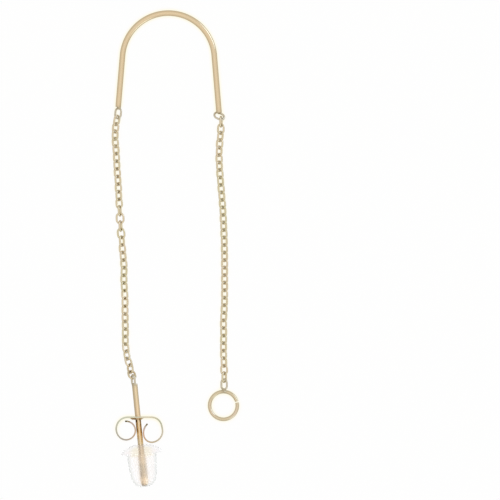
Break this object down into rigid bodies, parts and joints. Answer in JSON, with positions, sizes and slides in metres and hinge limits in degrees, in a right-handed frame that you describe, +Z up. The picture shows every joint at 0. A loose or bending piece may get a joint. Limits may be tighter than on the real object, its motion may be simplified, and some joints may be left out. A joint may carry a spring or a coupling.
{
  "type": "chain threader earring with an ear bar, an ear post and an end ring",
  "caption": "Chain earring laid flat: a U-shaped ear bar, two cable chains, an ear post with a butterfly nut and a clear stopper, and an end ring.",
  "frame": {"origin": "middle of the earring's outline as it lies, on the surface under it", "axes": "+X across the earring from the post's strand to the ring's, +Y along it towards the ear bar, +Z up off the surface"},
  "size_m": [0.0159, 0.0596, 0.005],
  "materials": {
    "polished_gold": "polished gold plate",
    "chain_gold": "polished gold plate on fine wire",
    "ring_gold": "polished gold plate",
    "sheet_gold": "gold plate on rolled sheet, bare pressed edges",
    "clear_silicone": "clear soft silicone"
  },
  "bodies": {
    "earring": {"ear_bar": "polished_gold", "post_chain": "chain_gold", "ring_chain": "chain_gold", "ear_post": "polished_gold", "end_ring": "ring_gold"},
    "nut": {"ear_nut": "sheet_gold"},
    "cap": {"stopper": "clear_silicone"}
  },
  "joints": [
    {"name": "nut_slide", "type": "slide", "parent": "earring", "child": "nut", "axis": [-0.0993, 0.9951, 0], "range_m": [-0.00015, 0.0037]},
    {"name": "stopper_slide", "type": "slide", "parent": "earring", "child": "cap", "axis": [0.0993, -0.9951, 0], "range_m": [0, 0.0065]}
  ]
}
